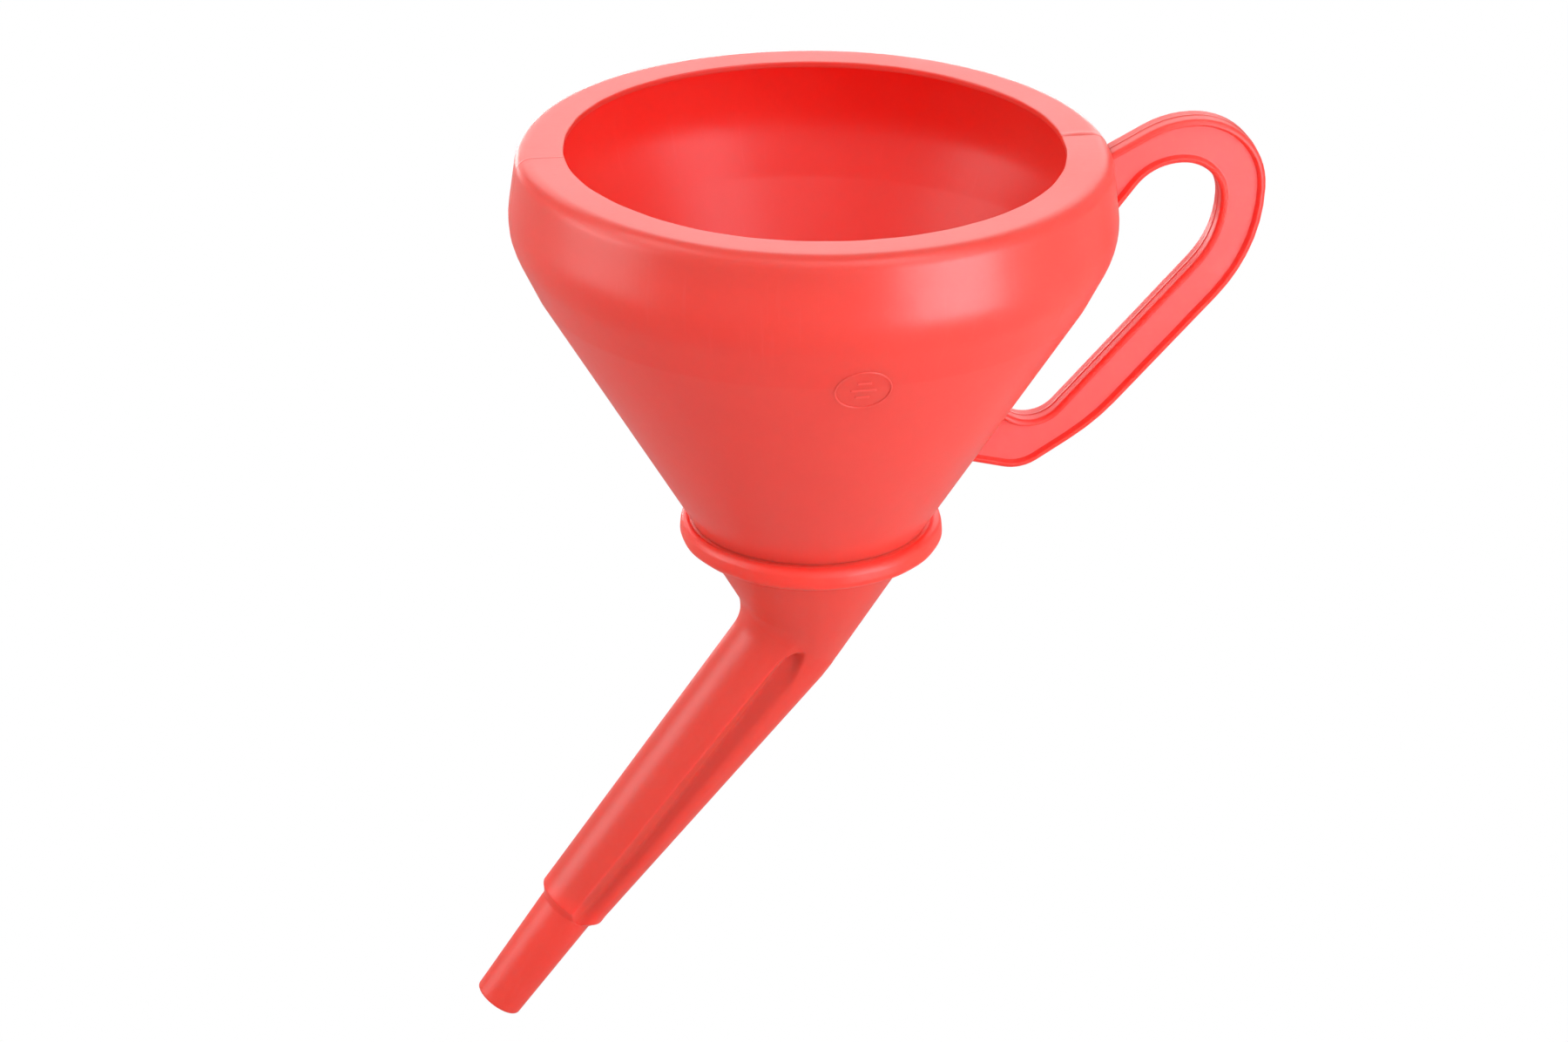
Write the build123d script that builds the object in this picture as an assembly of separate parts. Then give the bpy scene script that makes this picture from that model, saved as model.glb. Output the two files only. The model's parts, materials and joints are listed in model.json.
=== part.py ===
from build123d import *
import os
from math import cos, hypot, radians, sin, sqrt

# Two-piece pouring funnel with a loop handle and a leaning spout.
# Millimetres, +Z up. The origin is the centre of the spout's open end; the bowl's axis is
# vertical and stands on the +X side, with the handle beyond it. Everything is mirror
# symmetric about the plane Y = 0. The bowl's neck sits in the spout's socket, above a
# strainer that rests on a ledge, and lifts out of it.

# ---- driving dimensions -------------------------------------------------------------------
BOWL_AXIS_X = 86.0        # bowl axis, ahead of the spout's end
RIM_Z = 250.0             # flat top of the rim
WALL = 1.8                # bowl wall
MOUTH_R = 65.0            # opening in the in-turned splash rim
CONE_SLOPE = 0.603        # bowl cone: radius lost for each millimetre down
CONE_R = 72.7             # bowl cone's radius at its upper end
CONE_TOP_Z = RIM_Z - 36.6

NECK_STEP = 0.9           # the neck under the cone is this much slimmer
NECK_TOP_Z = RIM_Z - 107.6
NECK_END_Z = RIM_Z - 118.7

FIT_GAP = 0.35            # bowl neck in the spout's socket, measured along the radius
SPOUT_WALL = 1.4
SOCKET_SLOPE = 0.582      # spout cone: radius lost for each millimetre down
SOCKET_APEX_Z = RIM_Z - 161.1
COLLAR_R = 34.8
COLLAR_TOP_Z = RIM_Z - 105.3
COLLAR_LOW_Z = RIM_Z - 112.2

LEAN = radians(35.25)     # spout's angle off the vertical
TIP_R = 6.9               # plain cylinder at the spout's end
TIP_LAND = 14.4
TIP_ROOT_R = 7.9
TIP_BORE_R = 5.5
SHOULDER_U = 36.6         # u is measured up the spout's axis from its open end
SHOULDER_DROP = 2.3
JUNCTION_U = 136.0        # where the leaning tube leaves the socket cone
SHOULDER_R = 9.6          # upper end of the slanted step between the tube and the tip
TUBE_BACK_R = 9.1         # rounding of the tube's back; its front and grooves change along u
ROOT_LENGTH = 9.0         # tapered root of the tube, inside the socket cone
ROOT_SHRINK = 2.2
CONE_BOTTOM_Z = SOCKET_APEX_Z + 14.1
THROAT_BOTTOM_Z = CONE_BOTTOM_Z + 0.5

SEAT_R = 21.4             # strainer seat inside the socket
SEAT_Z = RIM_Z - 121.5
LEDGE_R = 19.9
RING_R = 21.1
RING_HEIGHT = 2.5
GAUZE_R = 19.4
GAUZE_THICK = 0.5
FLANGE_R = 18.4
FLANGE_THICK = 0.9

HANDLE_THICK = 8.5
HANDLE_EDGE = 2.0         # width of the raised edge that frames the handle's web
WEB_RECESS = 1.5          # the web lies this deep between the edges, on both faces


# ---- outline helpers ----------------------------------------------------------------------
def shifted(corners, distance):
    """Corners (x, z, radius) of an open outline, moved to its left by the distance."""
    sides = []
    for (x0, z0, _), (x1, z1, _) in zip(corners, corners[1:]):
        length = hypot(x1 - x0, z1 - z0)
        sides.append(((x1 - x0) / length, (z1 - z0) / length))
    moved = []
    for index, (x, z, radius) in enumerate(corners):
        before = sides[max(index - 1, 0)]
        after = sides[min(index, len(sides) - 1)]
        turn = before[0] * after[1] - before[1] * after[0]
        scale = distance / (1 + before[0] * after[0] + before[1] * after[1])
        x -= scale * (before[1] + after[1])
        z += scale * (before[0] + after[0])
        if radius:
            radius += -distance if turn > 0 else distance
        moved.append((x, z, radius))
    return moved


def outline(corners):
    """An open line through the corners, with the inner ones rounded."""
    points = [(x, z) for x, z, _ in corners]
    radii = [radius for _, _, radius in corners[1:-1]]
    return FilletPolyline(*points, radius=radii)


def turned(face):
    """Solid of revolution about the bowl's axis, from a face drawn as (radius, height)."""
    profile = Plane.XZ * face
    return Pos(BOWL_AXIS_X, 0, 0) * revolve(profile, axis=Axis.Z)


def turned_points(points):
    return turned(make_face(Polyline(*points, close=True)))


def cone_r(z):
    """Outer radius of the bowl's cone at a height."""
    return CONE_R - CONE_SLOPE * (CONE_TOP_Z - z)


def neck_r(z):
    return cone_r(z) - NECK_STEP


def socket_r(z):
    """Outer radius of the spout's cone at a height."""
    return SOCKET_SLOPE * (z - SOCKET_APEX_Z)


# ---- bowl ---------------------------------------------------------------------------------
def bowl_outside():
    """The rim, shoulder and cone, as (radius, height, rounding) from mouth to neck."""
    return [
        (MOUTH_R, RIM_Z, 0),
        (77.0, RIM_Z, 4.4),
        (80.0, RIM_Z - 21.4, 20.9),
        (CONE_R, CONE_TOP_Z, 10.9),
        (cone_r(NECK_TOP_Z), NECK_TOP_Z, 0),
    ]


def make_bowl():
    skin = bowl_outside()
    inside = shifted(skin, -WALL)
    inside[0] = (MOUTH_R, RIM_Z - WALL, 0)
    inside[-1] = (neck_r(NECK_TOP_Z) - WALL, NECK_TOP_Z, 0)
    neck_end_r = neck_r(NECK_END_Z)
    outer = outline(skin)
    inner = outline(inside)
    closing = Polyline(
        outer @ 1,
        (neck_r(NECK_TOP_Z), NECK_TOP_Z),
        (neck_end_r, NECK_END_Z),
        (neck_end_r - WALL, NECK_END_Z),
        inner @ 1,
    )
    lip = Line(outer @ 0, inner @ 0)
    return turned(make_face([outer, closing, inner, lip]))


def bowl_envelope():
    """The bowl's outside filled solid, used to trim what grows from it."""
    outer = outline(bowl_outside())
    core = Polyline(outer @ 1, (0, NECK_TOP_Z), (0, RIM_Z), outer @ 0)
    return turned(make_face([outer, core]))


# ---- handle -------------------------------------------------------------------------------
def beside_bowl(corners):
    """Row coordinates of corners given as (distance from the bowl's axis, depth, rounding)."""
    return [(BOWL_AXIS_X + reach, RIM_Z - depth, radius) for reach, depth, radius in corners]


def handle_edges():
    """Outer and inner edge of the loop; both start and end inside the bowl."""
    outer = [
        (70.0, 8.4, 0),
        (92.9, -4.3, 26.0),
        (119.6, -4.3, 19.5),
        (119.6, 33.2, 45.0),
        (76.5, 81.1, 60.0),
        (56.7, 93.9, 12.0),
        (40.0, 90.0, 0),
    ]
    inner = [
        (72.0, 31.1, 0),
        (89.2, 7.9, 14.5),
        (107.4, 7.9, 10.4),
        (107.4, 28.9, 26.0),
        (60.3, 81.9, 9.5),
        (46.0, 73.0, 0),
    ]
    return beside_bowl(outer), beside_bowl(inner)


def handle_strip(inset, thickness):
    """The loop's strip, narrowed by the inset on both edges, centred on the mirror plane."""
    outer_edge, inner_edge = handle_edges()
    outer = outline(shifted(outer_edge, -inset))
    inner = outline(shifted(inner_edge, inset))
    face = make_face([outer, Line(outer @ 1, inner @ 1), inner, Line(inner @ 0, outer @ 0)])
    return extrude(Plane.XZ * face, amount=thickness / 2, both=True)


def make_handle():
    handle = handle_strip(0, HANDLE_THICK) - bowl_envelope()
    recess = handle_strip(HANDLE_EDGE, 2 * WEB_RECESS)
    for side in (-1, 1):
        handle -= Pos(0, side * HANDLE_THICK / 2, 0) * recess
    return handle


# ---- spout --------------------------------------------------------------------------------
def section_plane(u):
    """Plane across the spout at a distance up its axis; local X is the tube's back."""
    up = Vector(sin(LEAN), 0, cos(LEAN))
    return Plane(origin=up * u, x_dir=(cos(LEAN), 0, -sin(LEAN)), z_dir=up)


def blend(u, low, high):
    """A value that changes evenly from the shoulder to the junction."""
    return low + (high - low) * (u - SHOULDER_U) / (JUNCTION_U - SHOULDER_U)


def tube_section(u, inset, shrink=0.0):
    """Round front, flatter back and a vent groove down each flank."""
    front_r = blend(u, 9.9, 10.9) - inset - shrink
    back_r = TUBE_BACK_R - inset - shrink
    back_x = blend(u, 0.7, 8.9) - 2 * shrink
    crest_x = 0.45 - 0.7 * inset
    crest_y = sqrt(front_r ** 2 - crest_x ** 2)
    valley = (blend(u, 2.2, 4.9) - shrink, blend(u, 8.1, 7.9) - 1.1 * inset - shrink)
    flank_angle = radians(blend(u, 60.0, 80.0))
    flank = (back_x + back_r * cos(flank_angle), back_r * sin(flank_angle))
    edges = [
        ThreePointArc((crest_x, crest_y), (-front_r, 0), (crest_x, -crest_y)),
        Line((crest_x, -crest_y), (valley[0], -valley[1])),
        Line((valley[0], -valley[1]), (flank[0], -flank[1])),
        ThreePointArc((flank[0], -flank[1]), (back_x + back_r, 0), flank),
        Line(flank, valley),
        Line(valley, (crest_x, crest_y)),
    ]
    return section_plane(u) * make_face(edges)


def tube(inset, lower_u):
    """The leaning tube, with a short tapered root that is buried in the socket cone."""
    lower_end = tube_section(lower_u, inset)
    upper_end = tube_section(JUNCTION_U, inset)
    root_end = tube_section(JUNCTION_U + ROOT_LENGTH, inset, shrink=ROOT_SHRINK)
    return loft([lower_end, upper_end], ruled=True) + loft([upper_end, root_end], ruled=True)


def along_spout(points):
    """Solid of revolution about the spout's axis, from (radius, distance up) points."""
    face = make_face(Polyline(*points, close=True))
    profile = section_plane(0) * (Plane.XZ * face)
    return revolve(profile, axis=Axis((0, 0, 0), (sin(LEAN), 0, cos(LEAN))))


def spout_tip():
    """Plain end of the spout: a cylinder, then a slight taper up to the shoulder."""
    shoulder_low = SHOULDER_U - SHOULDER_DROP
    return along_spout([
        (0, 0),
        (TIP_R, 0),
        (TIP_R, TIP_LAND),
        (TIP_ROOT_R, shoulder_low),
        (TIP_ROOT_R, SHOULDER_U + 4),
        (0, SHOULDER_U + 4),
    ])


def shoulder():
    """Slanted step from the grooved tube down to the tip."""
    lower = section_plane(SHOULDER_U - SHOULDER_DROP) * Circle(TIP_ROOT_R)
    upper = section_plane(SHOULDER_U) * Circle(SHOULDER_R)
    return loft([lower, upper], ruled=True)


def collar():
    """Filled cone with the bead, gutter and thin lip around its mouth."""
    cone_top_z = COLLAR_LOW_Z - 0.8
    return turned_points([
        (0, CONE_BOTTOM_Z),
        (socket_r(CONE_BOTTOM_Z), CONE_BOTTOM_Z),
        (socket_r(cone_top_z), cone_top_z),
        (COLLAR_R - 2.8, COLLAR_LOW_Z),
        (COLLAR_R - 1.0, COLLAR_LOW_Z + 1.2),
        (COLLAR_R - 0.1, COLLAR_LOW_Z + 2.6),
        (COLLAR_R - 0.1, COLLAR_LOW_Z + 4.4),
        (COLLAR_R - 0.6, COLLAR_LOW_Z + 5.6),
        (COLLAR_R - 1.2, COLLAR_LOW_Z + 6.0),
        (COLLAR_R - 1.8, COLLAR_LOW_Z + 5.6),
        (COLLAR_R - 2.2, COLLAR_TOP_Z - 2.9),
        (COLLAR_R - 2.8, COLLAR_TOP_Z - 0.1),
        (cone_r(COLLAR_TOP_Z) + FIT_GAP, COLLAR_TOP_Z),
        (0, COLLAR_TOP_Z),
    ])


def socket():
    """Hollow of the collar and cone: bowl seat, neck socket, strainer seat, then the cone."""
    step_z = NECK_TOP_Z - FIT_GAP
    wall_r = SPOUT_WALL * sqrt(1 + SOCKET_SLOPE ** 2)
    ledge_end_z = SOCKET_APEX_Z + (LEDGE_R + wall_r) / SOCKET_SLOPE
    above_z = COLLAR_TOP_Z + 1
    seat_top_z = SEAT_Z + RING_HEIGHT
    return turned_points([
        (0, THROAT_BOTTOM_Z),
        (socket_r(THROAT_BOTTOM_Z) - wall_r, THROAT_BOTTOM_Z),
        (LEDGE_R, ledge_end_z),
        (LEDGE_R, SEAT_Z),
        (SEAT_R, SEAT_Z),
        (SEAT_R, seat_top_z),
        (neck_r(seat_top_z) + FIT_GAP, seat_top_z),
        (neck_r(step_z) + FIT_GAP, step_z),
        (cone_r(step_z) + FIT_GAP, step_z),
        (cone_r(above_z) + FIT_GAP, above_z),
        (0, above_z),
    ])


def tip_passage():
    """Bore of the tip and the throat that opens from it into the tube."""
    below_u = -1
    throat_u = SHOULDER_U + 3
    return along_spout([
        (0, below_u),
        (TIP_BORE_R, below_u),
        (TIP_BORE_R, SHOULDER_U - SHOULDER_DROP),
        (TIP_ROOT_R - SPOUT_WALL, throat_u),
        (0, throat_u),
    ])


def make_spout():
    outside = collar() + tube(0, SHOULDER_U) + shoulder() + spout_tip()
    hollow = socket() + tube(SPOUT_WALL, SHOULDER_U + 1.5) + tip_passage()
    return outside - hollow


# ---- strainer -----------------------------------------------------------------------------
def make_strainer_ring():
    top_z = SEAT_Z + RING_HEIGHT
    edge = 0.3
    return turned_points([
        (FLANGE_R, SEAT_Z),
        (RING_R - edge, SEAT_Z),
        (RING_R, SEAT_Z + edge),
        (RING_R, top_z - edge),
        (RING_R - edge, top_z),
        (GAUZE_R, top_z),
        (GAUZE_R, SEAT_Z + FLANGE_THICK),
        (FLANGE_R, SEAT_Z + FLANGE_THICK),
    ])


def make_strainer_gauze():
    low_z = SEAT_Z + FLANGE_THICK
    high_z = low_z + GAUZE_THICK
    return turned_points([(0, low_z), (GAUZE_R, low_z), (GAUZE_R, high_z), (0, high_z)])


# ---- nodes --------------------------------------------------------------------------------
NODES = {
    "bowl": make_bowl,
    "handle": make_handle,
    "spout": make_spout,
    "strainer_ring": make_strainer_ring,
    "strainer_gauze": make_strainer_gauze,
}

os.makedirs("parts", exist_ok=True)
for name, make in NODES.items():
    export_step(make(), f"parts/{name}.step")
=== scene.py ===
import json
from math import atan2, ceil, cos, pi, radians, sin, sqrt, tan

import bpy
import numpy as np
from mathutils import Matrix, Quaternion, Vector


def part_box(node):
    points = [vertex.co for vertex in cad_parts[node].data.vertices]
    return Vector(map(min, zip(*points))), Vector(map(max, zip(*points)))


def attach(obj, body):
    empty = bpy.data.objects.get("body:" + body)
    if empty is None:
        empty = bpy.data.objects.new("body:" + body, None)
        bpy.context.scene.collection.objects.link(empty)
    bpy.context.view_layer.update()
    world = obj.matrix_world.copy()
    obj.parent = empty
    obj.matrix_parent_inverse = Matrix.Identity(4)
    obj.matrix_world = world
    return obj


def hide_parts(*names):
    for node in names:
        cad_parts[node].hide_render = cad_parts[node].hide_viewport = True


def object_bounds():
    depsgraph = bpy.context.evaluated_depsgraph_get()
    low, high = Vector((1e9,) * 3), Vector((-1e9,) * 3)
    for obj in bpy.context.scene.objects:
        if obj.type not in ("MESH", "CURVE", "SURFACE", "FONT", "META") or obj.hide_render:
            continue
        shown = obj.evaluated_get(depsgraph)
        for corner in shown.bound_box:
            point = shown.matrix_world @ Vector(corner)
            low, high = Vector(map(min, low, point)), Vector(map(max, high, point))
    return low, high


# Looks of a two-piece pouring funnel: a splash-rim bowl with a loop handle, set in the collar
# of a leaning, grooved spout, with a brass strainer in the joint. Shapes are worked out in
# millimetres, in the CAD frame, and become metres when a mesh is made.

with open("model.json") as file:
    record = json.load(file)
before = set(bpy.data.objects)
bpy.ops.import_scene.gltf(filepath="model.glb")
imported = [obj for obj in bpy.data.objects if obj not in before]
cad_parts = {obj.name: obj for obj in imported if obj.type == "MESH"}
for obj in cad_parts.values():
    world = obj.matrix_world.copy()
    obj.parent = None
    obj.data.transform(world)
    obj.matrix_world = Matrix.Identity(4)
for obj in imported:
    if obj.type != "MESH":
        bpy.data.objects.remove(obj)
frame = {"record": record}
cad_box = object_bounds()

MM = 0.001
mounts = {mount["name"]: mount for mount in frame["record"]["mounts"]}
colours = {material["slot"]: material["base_color"] for material in frame["record"]["materials"]}


def box_mm(node):
    low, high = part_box(node)
    return np.array(low) / MM, np.array(high) / MM


# ---- sizes from the frame -----------------------------------------------------------------
bowl_low, bowl_high = box_mm("bowl")
handle_low, handle_high = box_mm("handle")
ring_low, ring_high = box_mm("strainer_ring")
gauze_low, gauze_high = box_mm("strainer_gauze")
AXIS_X = (bowl_low[0] + bowl_high[0]) / 2      # the bowl's vertical axis
RIM_Z = bowl_high[2]
NECK_END_Z = bowl_low[2]
HANDLE_HALF = (handle_high[1] - handle_low[1]) / 2
tip_axis = mounts["spout_tip"]["axis"]
LEAN = atan2(-tip_axis[0], -tip_axis[2])
TIP_BORE_R = mounts["outlet_bore"]["dims"]["r_mm"]
TIP_END_R = mounts["spout_tip"]["dims"]["r_mm"] - 0.1  # the tip tapers evenly to its end
SEAT_Z = ring_low[2]

# ---- bowl ---------------------------------------------------------------------------------
WALL = 1.8
MOUTH_R = 65.0
LIP_ROUND = 0.4
CONE_SLOPE = 0.603
CONE_R = 72.7
CONE_TOP_Z = RIM_Z - 36.6
NECK_STEP = 0.9
NECK_TOP_Z = RIM_Z - 107.6
SHOULDER_Z = RIM_Z - 21.4

# ---- spout --------------------------------------------------------------------------------
FIT_GAP = 0.35
SPOUT_WALL = 1.4
SOCKET_SLOPE = 0.582
SOCKET_APEX_Z = RIM_Z - 161.1
COLLAR_TOP_Z = RIM_Z - 105.3
COLLAR_LOW_Z = RIM_Z - 112.2
TIP_ROOT_R = 7.9
TIP_ROOT_U = 34.3         # u is measured up the spout's axis from its open end
SHOULDER_U = 36.6
JUNCTION_U = 136.0        # where the leaning tube leaves the cone
ROOT_TAPER = 2.2 / 9.0    # the tube's own outline narrows above the junction
SEAT_R = 21.4
LEDGE_R = 19.9
SPOUT_UP = np.array([sin(LEAN), 0.0, cos(LEAN)])
SPOUT_BACK = np.array([cos(LEAN), 0.0, -sin(LEAN)])
ACROSS = np.array([0.0, 1.0, 0.0])


# ---- lines and meshes ---------------------------------------------------------------------
def arc_corner(before, corner, after, radius, step=radians(6)):
    """Points of the arc that rounds a corner between its two neighbours."""
    to_before = (before - corner) / np.linalg.norm(before - corner)
    to_after = (after - corner) / np.linalg.norm(after - corner)
    opening = np.arccos(np.clip(to_before @ to_after, -1, 1))
    if radius <= 0 or pi - opening < 0.01:
        return [corner]
    setback = radius / tan(opening / 2)
    middle = (to_before + to_after) / np.linalg.norm(to_before + to_after)
    centre = corner + middle * radius / sin(opening / 2)
    first = corner + to_before * setback - centre
    last = corner + to_after * setback - centre
    start = atan2(first[1], first[0])
    sweep = (atan2(last[1], last[0]) - start + pi) % (2 * pi) - pi
    count = max(2, ceil(abs(sweep) / step))
    angles = start + sweep * np.arange(count + 1) / count
    return [centre + radius * np.array([cos(a), sin(a)]) for a in angles]


def rounded(corners, closed=False):
    """Line through (x, y, radius) corners, with each corner rounded."""
    points = [np.array(corner[:2], float) for corner in corners]
    line = []
    for index, corner in enumerate(corners):
        at_end = index in (0, len(corners) - 1) and not closed
        before = points[index - 1]
        after = points[(index + 1) % len(points)]
        line += [points[index]] if at_end else arc_corner(before, points[index], after, corner[2])
    return np.array(line)


def divided(line, longest, closed=False):
    """The line with extra points, so that no step is longer than asked."""
    ends = np.roll(line, -1, axis=0) if closed else line[1:]
    result = []
    for start, end in zip(line, ends):
        count = max(1, ceil(np.linalg.norm(end - start) / longest))
        result += [start + (end - start) * step / count for step in range(count)]
    if not closed:
        result.append(line[-1])
    return np.array(result)


def shifted(corners, distance):
    """Corners (x, y, radius) of an open line, moved to its left by the distance."""
    points = np.array([corner[:2] for corner in corners], float)
    sides = np.diff(points, axis=0)
    sides /= np.linalg.norm(sides, axis=1)[:, None]
    moved = []
    for index, (point, radius) in enumerate(zip(points, [corner[2] for corner in corners])):
        before = sides[max(index - 1, 0)]
        after = sides[min(index, len(sides) - 1)]
        turn = before[0] * after[1] - before[1] * after[0]
        normal = np.array([-(before[1] + after[1]), before[0] + after[0]])
        point = point + distance * normal / (1 + before @ after)
        if radius:
            radius += -distance if turn > 0 else distance
        moved.append((point[0], point[1], radius))
    return moved


def normals_of(line):
    """Unit normals to the right of a closed line of (x, y) points."""
    along = np.roll(line, -1, axis=0) - np.roll(line, 1, axis=0)
    along /= np.linalg.norm(along, axis=1)[:, None]
    return np.stack([along[:, 1], -along[:, 0]], -1)


def lathe(profile, azimuths):
    """Rings about the bowl's axis, from (radius, height) points: an array (ring, column, 3)."""
    radius = profile[:, 0][:, None]
    height = np.repeat(profile[:, 1][:, None], len(azimuths), axis=1)
    return np.stack([AXIS_X + radius * np.cos(azimuths), radius * np.sin(azimuths), height], -1)


def skin(name, rings, body, material, joined=True, capped=False):
    """Mesh through rings of points in millimetres. Joined runs on from the last to the first."""
    count, columns = rings.shape[:2]
    index = np.arange(count * columns).reshape(count, columns)
    upper = np.roll(index, -1, axis=0) if joined else index[1:]
    lower = index if joined else index[:-1]
    quads = np.stack([lower, np.roll(lower, -1, 1), np.roll(upper, -1, 1), upper], -1)
    faces = quads.reshape(-1, 4).tolist()
    if capped:
        faces.append(index[0][::-1].tolist())
        faces.append(index[-1].tolist())
    return solid(name, rings.reshape(-1, 3), faces, body, material)


def solid(name, points, faces, body, material):
    """Smooth mesh object that rides on a body and takes its finish from a slot."""
    mesh = bpy.data.meshes.new(name)
    mesh.from_pydata((np.asarray(points) * MM).tolist(), [], faces)
    mesh.validate()
    mesh.polygons.foreach_set("use_smooth", [True] * len(mesh.polygons))
    mesh.materials.append(material)
    piece = bpy.data.objects.new(name, mesh)
    bpy.context.scene.collection.objects.link(piece)
    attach(piece, body)
    return piece


def bump_at(distance, spread):
    """Bell curve of height 1 about zero."""
    return np.exp(-(distance / spread) ** 2)


def turned_from(azimuths, centre):
    """Angle from a centre azimuth, between minus and plus half a turn."""
    return (azimuths - centre + pi) % (2 * pi) - pi


def waves(azimuths, *terms):
    """Sum of sine waves around the bowl's axis, from (height, count, start) terms."""
    return sum(height * np.sin(count * azimuths + start) for height, count, start in terms)


def eased(share):
    """A share from 0 to 1 that sets out and arrives slowly."""
    return share * share * (3 - 2 * share)


# ---- materials ----------------------------------------------------------------------------
class Shader:
    """Short way to add nodes to a material's tree."""

    def __init__(self, name):
        self.material = bpy.data.materials.new(name)
        self.material.use_nodes = True
        self.tree = self.material.node_tree
        self.surface = self.tree.nodes["Principled BSDF"]

    def add(self, kind, inputs=None, **settings):
        node = self.tree.nodes.new(kind)
        for key, value in settings.items():
            setattr(node, key, value)
        for key, value in (inputs or {}).items():
            self.feed(node, key, value)
        return node

    def feed(self, node, key, value):
        if isinstance(value, bpy.types.NodeSocket):
            self.tree.links.new(value, node.inputs[key])
        else:
            node.inputs[key].default_value = value

    def math(self, operation, *values):
        node = self.add("ShaderNodeMath", operation=operation)
        for index, value in enumerate(values):
            self.feed(node, index, value)
        return node.outputs[0]

    def place(self):
        return self.add("ShaderNodeTexCoord").outputs["Object"]

    def moved(self, vector, location=(0, 0, 0), rotation=(0, 0, 0), scale=(1, 1, 1)):
        inputs = {"Vector": vector, "Location": location, "Rotation": rotation, "Scale": scale}
        return self.add("ShaderNodeMapping", inputs).outputs[0]

    def noise(self, vector, scale, detail=3.0, roughness=0.5):
        inputs = {"Vector": vector, "Scale": scale, "Detail": detail, "Roughness": roughness}
        return self.add("ShaderNodeTexNoise", inputs).outputs["Fac"]

    def ramp(self, value, low, high, to_low=0.0, to_high=1.0):
        inputs = {
            "Value": value, "From Min": low, "From Max": high, "To Min": to_low, "To Max": to_high,
        }
        return self.add("ShaderNodeMapRange", inputs).outputs[0]

    def mix(self, share, first, second):
        inputs = {0: share, 6: first, 7: second}
        return self.add("ShaderNodeMix", inputs, data_type="RGBA").outputs[2]

    def bump(self, height, strength, distance, under=None):
        inputs = {"Height": height, "Strength": strength, "Distance": distance}
        if under is not None:
            inputs["Normal"] = under
        return self.add("ShaderNodeBump", inputs).outputs[0]


# Noise scales are in features per metre, and bump distances in metres.
RED_LIFT = 1.07           # makes up for the red that leaks through the thin, translucent walls
HANDLE_SHADE = 0.86       # the record's colours are scaled to match the photo under these lamps
SPOUT_SHADE = 1.12
SCATTER = (1.0, 0.07, 0.045)  # how far red, green and blue light get, as shares of the reach
PIGMENT_SCALE = 38.0
RIPPLE_SCALE = 95.0
SKIN_SCALE = 1500.0
SCRATCH_SHARE = 0.16      # how much paler a scratch makes the plastic
SCRATCH_ROUGHNESS = 0.12
SHEEN_PAINT_SHARE = 0.75        # how much paler the handle's web is painted, as a painted sheen
WEB_LEVEL = (0.0029, 0.0034)  # metres from the mirror plane: just over the web, up its edge


def polyethylene(
    name, colour, grain_direction, gloss=(0.31, 0.37), painted_sheen=None, depth=1.0, reach=0.008,
):
    """Semi-gloss moulded polyethylene: soft pigment clouds, drawn scratches and a fine skin.

    Gloss is the range of roughness, depth the share of light that scatters inside, and reach
    how many metres the red part of it gets.
    """
    shader = Shader(name)
    place = shader.place()
    along = grain_direction(shader, place)
    clouds = shader.noise(place, PIGMENT_SCALE, detail=4.0)
    streaks = shader.noise(along, 1.0, detail=5.0, roughness=0.65)
    scratches = shader.ramp(streaks, 0.60, 0.74)
    skin_grain = shader.noise(place, SKIN_SCALE, detail=2.0)
    ripple = shader.noise(place, RIPPLE_SCALE, detail=3.0)

    colour = (min(1.0, colour[0] * RED_LIFT), colour[1], colour[2])
    deep = [share * 0.97 for share in colour] + [1.0]
    pale = [min(1.0, share * 1.03) for share in colour] + [1.0]
    clouded = shader.mix(shader.ramp(clouds, 0.3, 0.7), deep, pale)
    # This paler tone lightens the scratches, which are wear, and gives the painted sheen on the
    # handle's web.
    pale_scuff_and_sheen = [min(1.0, share * 0.98 + 0.09) for share in colour] + [1.0]
    wear_and_sheen = shader.math("MULTIPLY", scratches, SCRATCH_SHARE)
    # Painted sheen: paler colour added on top of the scratches wherever the sheen mask reaches.
    if painted_sheen:
        wear_and_sheen = shader.math("ADD", wear_and_sheen, painted_sheen(shader, place))
    worn_and_sheen = shader.mix(wear_and_sheen, clouded, pale_scuff_and_sheen)
    dull = shader.ramp(clouds, 0.25, 0.75, gloss[0], gloss[1])
    rough = shader.math("ADD", dull, shader.math("MULTIPLY", scratches, SCRATCH_ROUGHNESS))

    wave = shader.bump(ripple, 0.12, 0.0006)
    drawn = shader.bump(streaks, 0.07, 0.0002, wave)
    fine = shader.bump(skin_grain, 0.12, 0.0001, drawn)

    surface = shader.surface
    shader.feed(surface, "Base Color", worn_and_sheen)
    shader.feed(surface, "Roughness", rough)
    shader.feed(surface, "Normal", fine)
    surface.inputs["Specular IOR Level"].default_value = 0.5
    surface.inputs["IOR"].default_value = 1.5
    surface.inputs["Subsurface Weight"].default_value = depth
    surface.inputs["Subsurface Radius"].default_value = SCATTER
    surface.inputs["Subsurface Scale"].default_value = reach
    return shader.material


def round_axis_grain(shader, place):
    """Coordinates that stretch a noise into upright streaks around the bowl's axis."""
    centred = shader.moved(place, location=(-AXIS_X * MM, 0, 0))
    parts = shader.add("ShaderNodeSeparateXYZ", {0: centred}).outputs
    turn = shader.math("ARCTAN2", parts[1], parts[0])
    height = shader.math("MULTIPLY", parts[2], 28.0)
    around = shader.math("MULTIPLY", turn, 46.0)
    return shader.add("ShaderNodeCombineXYZ", {0: around, 1: height, 2: 0.0}).outputs[0]


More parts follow.
